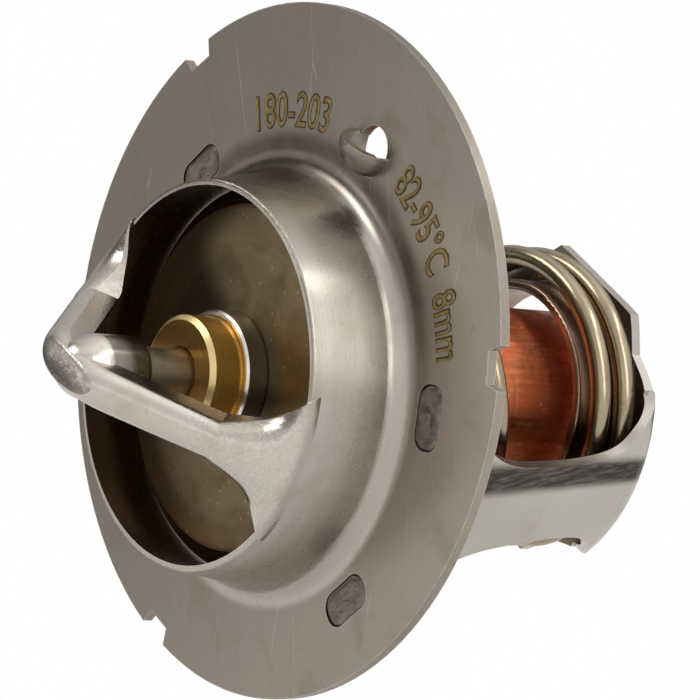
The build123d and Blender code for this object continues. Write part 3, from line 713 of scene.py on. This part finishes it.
def cushion_mesh(name, rim, top, thick):
    """Closed cushion: rings of a rim curve shrunk to its middle. rim is (2, n), top(x, y, share)
    gives the upper face's height, and the lower face lies thick * (1 - share^6) below it."""
    around = rim.shape[1]
    share = np.linspace(1.0, 0.0, CUSHION_RINGS)[:-1, None]
    x, y = share * rim[0], share * rim[1]
    upper = top(x, y, share)
    lower = upper - thick * (1 - share ** 6)
    middle = top(np.zeros(1), np.zeros(1), np.zeros(1))[0]
    points = np.concatenate([
        np.stack([x, y, upper], axis=-1).reshape(-1, 3), [[0, 0, middle]],
        np.stack([x, y, lower], axis=-1)[1:].reshape(-1, 3), [[0, 0, middle - thick]]])
    centre = (CUSHION_RINGS - 1) * around        # the middle point follows the upper rings
    above = np.arange(centre).reshape(-1, around)
    below = np.arange(centre + 1, len(points) - 1).reshape(-1, around)
    faces = []
    for grid, hub, flip in ((above, centre, False),
                            (np.concatenate([above[:1], below]), len(points) - 1, True)):
        after = np.roll(grid, -1, axis=1)
        quads = np.stack([grid[:-1], after[:-1], after[1:], grid[1:]], axis=-1).reshape(-1, 4)
        fans = np.stack([grid[-1], after[-1], np.full(around, hub)], axis=-1)
        for block in (quads, fans):
            faces += (block[:, ::-1] if flip else block).tolist()
    mesh = bpy.data.meshes.new(name)
    mesh.from_pydata(points.tolist(), [], faces)
    mesh.polygons.foreach_set("use_smooth", np.ones(len(faces), dtype=bool))
    mesh.set_sharp_from_angle(angle=CUSHION_CREASE)
    return mesh


def mesh_points(mesh):
    points = np.empty(len(mesh.vertices) * 3)
    mesh.vertices.foreach_get("co", points)
    return points.reshape(-1, 3)


def move_mesh_points(mesh, points):
    mesh.vertices.foreach_set("co", points.reshape(-1))
    mesh.update()


def place_mesh(mesh, turn, shift):
    """Turns a mesh's points about the valve's axis, shifts them, and puts them in the frame."""
    x, y, z = (mesh_points(mesh) + np.array(shift)).T
    turned = np.stack([x * cos(turn) - y * sin(turn), x * sin(turn) + y * cos(turn), z], axis=-1)
    move_mesh_points(mesh, from_local(turned))


# The bridge's apex and the hollow pressed in it, in millimetres. The hollow is the lower half of
# an ellipsoid whose half axes are its half length, its half width and its depth.
APEX_CENTRE, APEX_RADIUS = 16.125, 8.0
CROWN_RADIUS, CROWN_REACH = 1.85, 1.84
HOLLOW_HALF_LENGTH, HOLLOW_HALF_WIDTH, HOLLOW_DEPTH = 4.9, 1.5, 2.1
HOLLOW_HEIGHT, HOLLOW_SHIFT, HOLLOW_TURN = 23.75, 0.2, radians(2.5)
FLOOR_SUNK, FLOOR_THICK, UNDER_CROWN = 0.85, 0.5, 0.012
HOLLOW_STEPS, REACH_STEPS, FIRST_REACH, LAST_REACH = 96, 300, 0.3, 0.999

# The slots for the frame's tabs, and the tabs' swollen ends that fill them
SLOT_RADIUS, SLOT_ANGLE = 23.3, radians(24.9)
STAKE_HALF_WIDTH, STAKE_HALF_LENGTH, STAKE_CORNER, STAKE_THICK = 1.64, 2.99, 1.44, 0.6
STAKE_PROUD, STAKE_EDGE_DROP, STAKE_STEPS = 0.06, 0.3, 72

GRIT_SIZE = 0.012
GRIT_ROWS = 32


def hammered(seed, columns):
    """Random roughness of a cushion's upper face, for each of its rings and for its middle."""
    grit = np.random.default_rng(seed).normal(0, GRIT_SIZE, (GRIT_ROWS, columns))
    return lambda x: grit[:x.shape[0]] if x.ndim > 1 else 0.0


def crown_height(x, y):
    """Outside of the bridge's apex: one circle along it, and a smaller one across it."""
    along = APEX_CENTRE + np.sqrt(APEX_RADIUS ** 2 - x ** 2)
    across = np.clip(y, -CROWN_REACH, CROWN_REACH)
    return along - (CROWN_RADIUS - np.sqrt(CROWN_RADIUS ** 2 - across ** 2))


def dimple_mesh():
    """Floor of the dimple in the apex. Its rim is where the hollow leaves the crown."""
    angle = np.linspace(0, 2 * pi, HOLLOW_STEPS, endpoint=False)
    reach = np.linspace(FIRST_REACH, LAST_REACH, REACH_STEPS)[:, None]
    along, across = HOLLOW_HALF_LENGTH * np.cos(angle), HOLLOW_HALF_WIDTH * np.sin(angle)
    hollow = HOLLOW_HEIGHT - HOLLOW_DEPTH * np.sqrt(1 - reach ** 2)
    inside = hollow < crown_height(reach * along, reach * across + HOLLOW_SHIFT)
    edge = reach[np.argmin(inside, axis=0), 0]
    edge = np.where(inside.all(axis=0), LAST_REACH, edge) * 1.01
    rough = hammered(7, HOLLOW_STEPS)

    def top(x, y, share):
        floor = crown_height(x, y + HOLLOW_SHIFT) - UNDER_CROWN
        return floor - FLOOR_SUNK * (1 - share ** 2) ** 1.7 + rough(x) * (1 - share ** 4)
    mesh = cushion_mesh("dimple_floor", np.stack([along * edge, across * edge]), top, FLOOR_THICK)
    place_mesh(mesh, HOLLOW_TURN, (0.0, HOLLOW_SHIFT, 0.0))
    return mesh


def staked_mesh(number, angle):
    """Swollen end of a tab: a rounded oblong that fills its slot, with a hammered face."""
    turn = np.linspace(0, 2 * pi, STAKE_STEPS, endpoint=False) + 0.01
    rim = np.stack([np.sign(side) * (half - STAKE_CORNER) + STAKE_CORNER * side for side, half in
                    ((np.cos(turn), STAKE_HALF_WIDTH), (np.sin(turn), STAKE_HALF_LENGTH))])
    rough = hammered(number, STAKE_STEPS)

    def top(x, y, share):
        return STAKE_PROUD - STAKE_EDGE_DROP * share ** 10 + rough(x) * (1 - share ** 8)
    mesh = cushion_mesh(f"staked_end_{number}", rim, top, STAKE_THICK)
    place_mesh(mesh, angle, (SLOT_RADIUS, 0.0, 0.0))
    return mesh


FONT_SIZE_SHARE = 1.38                           # font size over the height of its capitals


def text_points(text, size, extra):
    """Filled outline of plain text as a mesh in its own plane, thickened by extra."""
    curve = bpy.data.curves.new("mark_text", "FONT")
    curve.body = text
    curve.size = size
    curve.offset = extra
    curve.align_x = "CENTER"
    curve.resolution_u = 3
    holder = bpy.data.objects.new("mark_text", curve)
    bpy.context.scene.collection.objects.link(holder)
    bpy.context.view_layer.update()
    mesh = bpy.data.meshes.new_from_object(holder)
    bpy.data.objects.remove(holder)
    return mesh


def bend_text(mesh, middle, radius, mid_angle, length, stand_off):
    """Fits flat text to its length and bends it round a circle: the angle is
    mid_angle - x / radius, and the reach is radius + y."""
    points = mesh_points(mesh)
    across = points[:, 0] * length / np.ptp(points[:, 0])
    angle = mid_angle - across / radius
    reach = radius + points[:, 1]
    placed = np.stack([middle[0] + reach * np.cos(angle), np.full(len(points), -stand_off),
                       middle[2] + reach * np.sin(angle)], axis=-1)
    move_mesh_points(mesh, placed)


def add_piece(name, mesh, material, rides_on):
    piece = bpy.data.objects.new(name, mesh)
    bpy.context.scene.collection.objects.link(piece)
    mesh.materials.clear()
    mesh.materials.append(material)
    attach(piece, rides_on)
    return piece


# ---------------- operators

class FinishHousing(bpy.types.Operator):
    """Finish the flange with its hat and bridge"""
    bl_idname = "thermostat.finish_housing"
    bl_label = "Finish flange and bridge"

    def execute(self, context):
        finish = context.scene.thermostat_finish
        dress("flange_bridge", make_material(sheet_steel, finish, strength=0.35))
        return {"FINISHED"}


class FinishLowerFrame(bpy.types.Operator):
    """Finish the lower frame"""
    bl_idname = "thermostat.finish_lower_frame"
    bl_label = "Finish lower frame"

    def execute(self, context):
        dress("lower_frame", make_material(frame_steel, context.scene.thermostat_finish))
        return {"FINISHED"}


class FinishValve(bpy.types.Operator):
    """Finish the disc, the brass guide, the pin and the copper cup"""
    bl_idname = "thermostat.finish_valve"
    bl_label = "Finish valve and element"

    def execute(self, context):
        finish = context.scene.thermostat_finish
        dress("valve_disc", make_material(disc_steel, finish))
        dress("guide_body", make_material(turned_brass, finish, metallic=0.75))
        dress("piston_pin", make_material(ground_pin, finish))
        copper = make_material(drawn_copper, finish, strength=0.4, distance=0.03 * MM)
        dress("element_cup", copper)
        return {"FINISHED"}


# node, material, metallic, dark and light colour, least roughness, density of the grain
INNER_LOOKS = (
    ("rubber_boot", "boot_rubber", 0.0, (0.02, 0.02, 0.02), (0.05, 0.05, 0.048), 0.55, 2500.0),
    ("backup_washer", "washer_plastic", 0.0, (0.72, 0.71, 0.67), (0.84, 0.83, 0.79), 0.4, 3000.0),
    ("wax_charge", "copper_wax", 0.1, (0.40, 0.18, 0.09), (0.58, 0.30, 0.17), 0.45, 1800.0),
)


class FinishInnerParts(bpy.types.Operator):
    """Finish the boot, the washer and the wax inside the element"""
    bl_idname = "thermostat.finish_inner_parts"
    bl_label = "Finish inner parts"

    def execute(self, context):
        for node, name, metallic, *look in INNER_LOOKS:
            dress(node, make_material(moulded, *look, name=name, metallic=metallic,
                                      distance=0.03 * MM))
        return {"FINISHED"}


class AddSpring(bpy.types.Operator):
    """Make the spring's coil"""
    bl_idname = "thermostat.add_spring"
    bl_label = "Add spring coil"

    def execute(self, context):
        mesh = grid_mesh("spring_coil", spring_grid(), "wire", 0.25)
        wire = make_material(spring_wire, context.scene.thermostat_finish)
        coil = add_piece("spring_coil", mesh, wire, "housing_side")
        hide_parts("main_spring")
        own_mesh(coil)
        return {"FINISHED"}


class AddPressedForms(bpy.types.Operator):
    """Make the dimple's floor and the staked ends of the tabs"""
    bl_idname = "thermostat.add_pressed_forms"
    bl_label = "Add pressed forms"

    def execute(self, context):
        finish = context.scene.thermostat_finish
        floor = make_material(granular_floor, finish, strength=0.5, distance=0.04 * MM)
        staked = make_material(staked_steel, finish, strength=0.5, distance=0.05 * MM)
        add_piece("dimple_floor", dimple_mesh(), floor, "housing_side")
        angles = (SLOT_ANGLE, -SLOT_ANGLE, pi + SLOT_ANGLE, pi - SLOT_ANGLE)
        for number, angle in enumerate(angles):
            mesh = staked_mesh(number, angle)
            add_piece(mesh.name, mesh, staked, "housing_side")
        return {"FINISHED"}


class AddMarks(bpy.types.Operator):
    """Etch plain temperature marks in the flange"""
    bl_idname = "thermostat.add_marks"
    bl_label = "Add etched marks"

    def execute(self, context):
        marks = context.scene.thermostat_marks
        size = marks.letter_height * FONT_SIZE_SHARE
        film = make_material(etched, (0.22, 0.145, 0.055), (0.33, 0.23, 0.10),
                             name="etched_film", metallic=0.75)
        outline = make_material(etched, (0.05, 0.033, 0.015), (0.10, 0.066, 0.03),
                                name="etched_outline", metallic=0.75)
        layers = (("outline", outline, 0.13 * MM, 1), ("film", film, -0.02 * MM, 2))
        places = (("top", marks.top_text, 23.4 * MM, radians(83.0), 10.6 * MM),
                  ("side", marks.side_text, 24.0 * MM, radians(20.8), 17.6 * MM))
        for place, text, radius, angle, length in places:
            for layer, material, extra, level in layers:
                mesh = text_points(text, size, extra)
                bend_text(mesh, VALVE_AXIS, radius, angle, length, level * marks.depth)
                add_piece(f"{place}_mark_{layer}", mesh, material, "housing_side")
        return {"FINISHED"}


class AddStage(bpy.types.Operator):
    """Set the floor, the lamps, the sky and the camera"""
    bl_idname = "thermostat.add_stage"
    bl_label = "Add studio stage"

    def execute(self, context):
        stage = context.scene.thermostat_stage
        add_floor(stage.floor_height)
        add_sky(context.scene)
        for lamp in LAMPS:
            add_lamp(stage.lamp_level, *lamp)
        camera = bpy.data.cameras.new("camera")
        camera.lens = stage.lens
        camera.sensor_width = 36.0
        camera.clip_start = 0.01
        holder = bpy.data.objects.new("camera", camera)
        holder.location = stage.camera_place
        holder.rotation_euler = stage.camera_turn
        context.scene.collection.objects.link(holder)
        context.scene.camera = holder
        context.scene.view_settings.view_transform = "Standard"
        return {"FINISHED"}


MATT_LEVEL = 0.75                                # what matt things get from the sky

# name, place, width, height, power, warmth; each looks at the flange's middle
LAMPS = (
    ("key_lamp", (-0.16, -0.46, 0.70), 0.50, 0.26, 1.5, (1.0, 0.985, 0.96)),
    ("back_lamp", (0.48, 0.29, 0.58), 0.50, 0.09, 0.65, (1.0, 0.99, 0.97)),
    ("side_lamp", (0.75, 0.05, 0.25), 0.30, 0.60, 1.2, (1.0, 0.99, 0.97)),
    ("left_lamp", (-0.60, -0.60, 0.15), 0.30, 0.50, 0.35, (1.0, 0.98, 0.95)),
)


def add_lamp(level, name, place, width, height, power, warmth):
    lamp = bpy.data.lights.new(name, "AREA")
    lamp.shape = "RECTANGLE"
    lamp.size = width
    lamp.size_y = height
    lamp.energy = power * level
    lamp.color = warmth
    holder = bpy.data.objects.new(name, lamp)
    holder.location = place
    holder.rotation_euler = holder.location.to_track_quat("Z", "Y").to_euler()
    bpy.context.scene.collection.objects.link(holder)


def add_sky(scene):
    """White backdrop. Metal shows it as a soft studio, bright to the right and grey to the left,
    and matt things are lit by its plain level."""
    sky = bpy.data.worlds.new("studio")
    sky.use_nodes = True
    tree = sky.node_tree
    tree.nodes.clear()
    direction = add_node(tree, "ShaderNodeTexCoord").outputs["Generated"]
    x, y, z = split(tree, direction)
    right = ramp(tree, x, -0.55, 0.6, 0.12, 0.80)
    front = times(tree, ramp(tree, y, 0.3, -0.7, 0.0, 0.22), ramp(tree, z, 0.42, 0.15))
    back = times(tree, ramp(tree, y, -0.2, 0.25), ramp(tree, z, 0.12, 0.55, 0.0, 0.36))
    above = ramp(tree, z, 0.65, 0.95, 0.0, 0.3)
    mirrored = sum_of(tree, (right, 1.0), (front, 1.0), (back, 1.0), (above, 1.0))
    path = add_node(tree, "ShaderNodeLightPath").outputs
    plain = math_node(tree, "MAXIMUM", path["Is Camera Ray"], path["Is Transmission Ray"])
    level = math_node(tree, "MULTIPLY_ADD", plain, 1.0 - MATT_LEVEL, MATT_LEVEL)
    glossy = path["Is Glossy Ray"]
    unmirrored = times(tree, level, math_node(tree, "SUBTRACT", 1.0, glossy))
    level = math_node(tree, "MULTIPLY_ADD", mirrored, glossy, unmirrored)
    studio = add_node(tree, "ShaderNodeBackground",
                      {"Color": (1.0, 1.0, 1.0, 1.0), "Strength": level}).outputs[0]
    add_node(tree, "ShaderNodeOutputWorld", {"Surface": studio})
    scene.world = sky


FLOOR_HALF_SIDE = 1.5


def add_floor(height):
    mesh = bpy.data.meshes.new("floor")
    corners = ((-1, -1), (1, -1), (1, 1), (-1, 1))
    mesh.from_pydata([(x * FLOOR_HALF_SIDE, y * FLOOR_HALF_SIDE, height) for x, y in corners],
                     [], [(0, 1, 2, 3)])
    floor = bpy.data.objects.new("floor", mesh)
    bpy.context.scene.collection.objects.link(floor)
    material, tree, shader, where = start_material("pale_floor", 0.0)
    cloud = noise(tree, where, 6.0, 3.0)
    colour = blend(tree, cloud, (0.78, 0.78, 0.77), (0.83, 0.83, 0.82))
    tree.links.new(colour, shader.inputs["Base Color"])
    shader.inputs["Roughness"].default_value = 0.7
    mesh.materials.append(material)


OPERATORS = (FinishHousing, FinishLowerFrame, FinishValve, FinishInnerParts, AddSpring,
             AddPressedForms, AddMarks, AddStage)


class ThermostatPanel(bpy.types.Panel):
    """Lists the steps and the settings"""
    bl_idname = "VIEW3D_PT_thermostat"
    bl_label = "Thermostat"
    bl_space_type = "VIEW_3D"
    bl_region_type = "UI"
    bl_category = "Thermostat"

    def draw(self, context):
        scene = context.scene
        for settings in (scene.thermostat_finish, scene.thermostat_marks, scene.thermostat_stage):
            box = self.layout.box()
            for name in settings.__annotations__:
                box.prop(settings, name)
        for operator in OPERATORS:
            self.layout.operator(operator.bl_idname)


def register():
    for item in SETTINGS + OPERATORS + (ThermostatPanel,):
        bpy.utils.register_class(item)
    bpy.types.Scene.thermostat_finish = bpy.props.PointerProperty(type=FinishSettings)
    bpy.types.Scene.thermostat_marks = bpy.props.PointerProperty(type=MarkSettings)
    bpy.types.Scene.thermostat_stage = bpy.props.PointerProperty(type=StageSettings)


def unregister():
    for name in ("thermostat_finish", "thermostat_marks", "thermostat_stage"):
        delattr(bpy.types.Scene, name)
    for item in reversed(SETTINGS + OPERATORS + (ThermostatPanel,)):
        bpy.utils.unregister_class(item)


def main():
    register()
    bpy.ops.thermostat.finish_housing()
    bpy.ops.thermostat.finish_lower_frame()
    bpy.ops.thermostat.finish_valve()
    bpy.ops.thermostat.finish_inner_parts()
    bpy.ops.thermostat.add_spring()
    bpy.ops.thermostat.add_pressed_forms()
    bpy.ops.thermostat.add_marks()
    bpy.ops.thermostat.add_stage()


if __name__ == "__main__":
    main()
